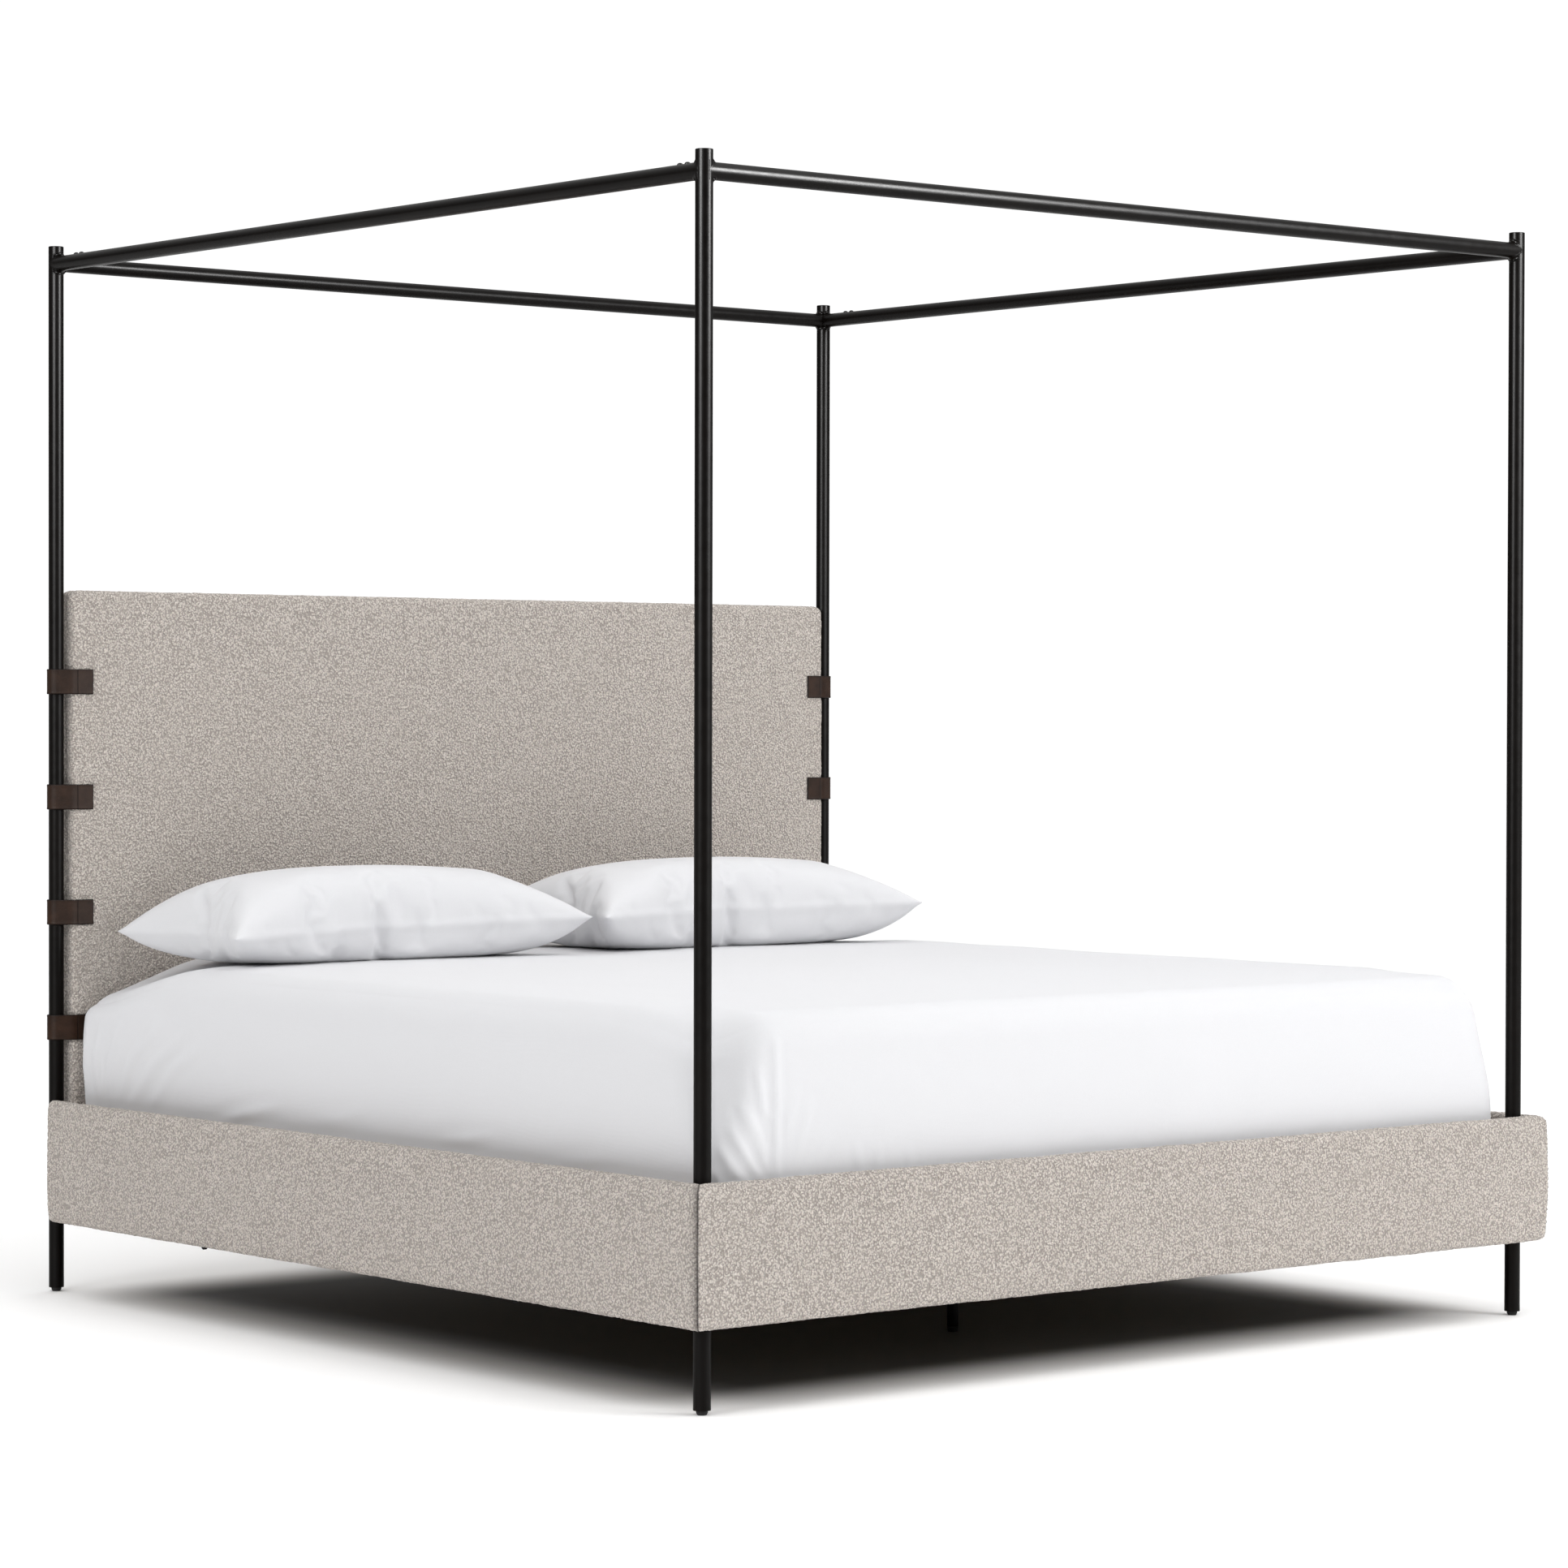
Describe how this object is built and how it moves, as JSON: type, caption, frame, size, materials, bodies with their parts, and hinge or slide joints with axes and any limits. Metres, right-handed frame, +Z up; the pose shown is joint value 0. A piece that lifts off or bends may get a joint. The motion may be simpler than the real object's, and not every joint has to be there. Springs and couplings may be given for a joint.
{
  "type": "four poster canopy bed",
  "caption": "Slim round-tube four poster canopy bed with upholstered boucle rails and headboard, leather straps, slatted base, mattress and pillows.",
  "frame": {"origin": "on the floor, under the middle of the bed's outer box", "axes": "+Z up, +Y towards the headboard, X across the bed"},
  "size_m": [2.09, 2.1476, 2.085],
  "materials": {
    "bronze_steel": "satin dark bronze powder coat",
    "black_screw": "blackened button-head screws",
    "zinc": "bright zinc plate",
    "boucle": "looped boucle in warm grey beige",
    "leather": "dark brown saddle leather",
    "plywood": "birch plywood",
    "pine": "planed pine",
    "foam": "upholstery foam",
    "foot_plastic": "matte black moulded foot",
    "linen": "crisp white cotton percale",
    "mattress_ticking": "white quilted ticking"
  },
  "bodies": {
    "frame": {"head_post_left": "bronze_steel", "head_post_right": "bronze_steel", "foot_post_left": "bronze_steel", "foot_post_right": "bronze_steel", "post_caps": "bronze_steel", "head_top_bar": "bronze_steel", "foot_top_bar": "bronze_steel", "side_top_bar_left": "bronze_steel", "side_top_bar_right": "bronze_steel", "bar_stubs": "bronze_steel", "canopy_screws": "black_screw", "headboard_panel": "plywood", "headboard_foam": "foam", "headboard_cover": "boucle", "strap_left_1": "leather", "strap_left_2": "leather", "strap_left_3": "leather", "strap_left_4": "leather", "strap_right_1": "leather", "strap_right_2": "leather", "strap_right_3": "leather", "strap_right_4": "leather", "strap_screws": "black_screw", "side_rail_core_left": "plywood", "side_rail_core_right": "plywood", "foot_rail_core": "plywood", "rail_foams": "foam", "side_rail_cover_left": "boucle", "side_rail_cover_right": "boucle", "foot_rail_cover": "boucle", "head_cross_rail": "bronze_steel", "head_bracket_left": "bronze_steel", "head_bracket_right": "bronze_steel", "foot_bracket_left": "bronze_steel", "foot_bracket_right": "bronze_steel", "rail_bolts": "zinc", "rail_inserts": "zinc", "ledger_left": "pine", "ledger_right": "pine", "ledger_screws": "zinc", "cross_beam_foot": "bronze_steel", "cross_beam_head": "bronze_steel", "beam_sockets": "bronze_steel", "centre_beam": "pine", "centre_leg_foot": "bronze_steel", "centre_leg_head": "bronze_steel", "slats_left": "pine", "slats_right": "pine", "slat_screws": "zinc", "glide_plugs": "foot_plastic"},
    "foot_head_left": {"glide_head_left": "foot_plastic"},
    "foot_head_right": {"glide_head_right": "foot_plastic"},
    "foot_foot_left": {"glide_foot_left": "foot_plastic"},
    "foot_foot_right": {"glide_foot_right": "foot_plastic"},
    "foot_centre_foot": {"glide_centre_foot": "foot_plastic"},
    "foot_centre_head": {"glide_centre_head": "foot_plastic"},
    "mattress": {"mattress": "mattress_ticking", "fitted_sheet": "linen"},
    "pillow_left": {"pillow_left": "linen"},
    "pillow_right": {"pillow_right": "linen"}
  },
  "joints": [
    {"name": "foot_head_left_screw", "type": "slide", "parent": "frame", "child": "foot_head_left", "axis": [0, 0, 1], "range_m": [-0.01, 0]},
    {"name": "foot_head_right_screw", "type": "slide", "parent": "frame", "child": "foot_head_right", "axis": [0, 0, 1], "range_m": [-0.01, 0]},
    {"name": "foot_foot_left_screw", "type": "slide", "parent": "frame", "child": "foot_foot_left", "axis": [0, 0, 1], "range_m": [-0.01, 0]},
    {"name": "foot_foot_right_screw", "type": "slide", "parent": "frame", "child": "foot_foot_right", "axis": [0, 0, 1], "range_m": [-0.01, 0]},
    {"name": "foot_centre_foot_screw", "type": "slide", "parent": "frame", "child": "foot_centre_foot", "axis": [0, 0, 1], "range_m": [-0.01, 0]},
    {"name": "foot_centre_head_screw", "type": "slide", "parent": "frame", "child": "foot_centre_head", "axis": [0, 0, 1], "range_m": [-0.01, 0]},
    {"name": "mattress_lift", "type": "slide", "parent": "frame", "child": "mattress", "axis": [0, 0, 1], "range_m": [0, 0.4]},
    {"name": "pillow_left_lift", "type": "slide", "parent": "mattress", "child": "pillow_left", "axis": [0, 0, 1], "range_m": [0, 0.4]},
    {"name": "pillow_right_lift", "type": "slide", "parent": "mattress", "child": "pillow_right", "axis": [0, 0, 1], "range_m": [0, 0.4]}
  ]
}
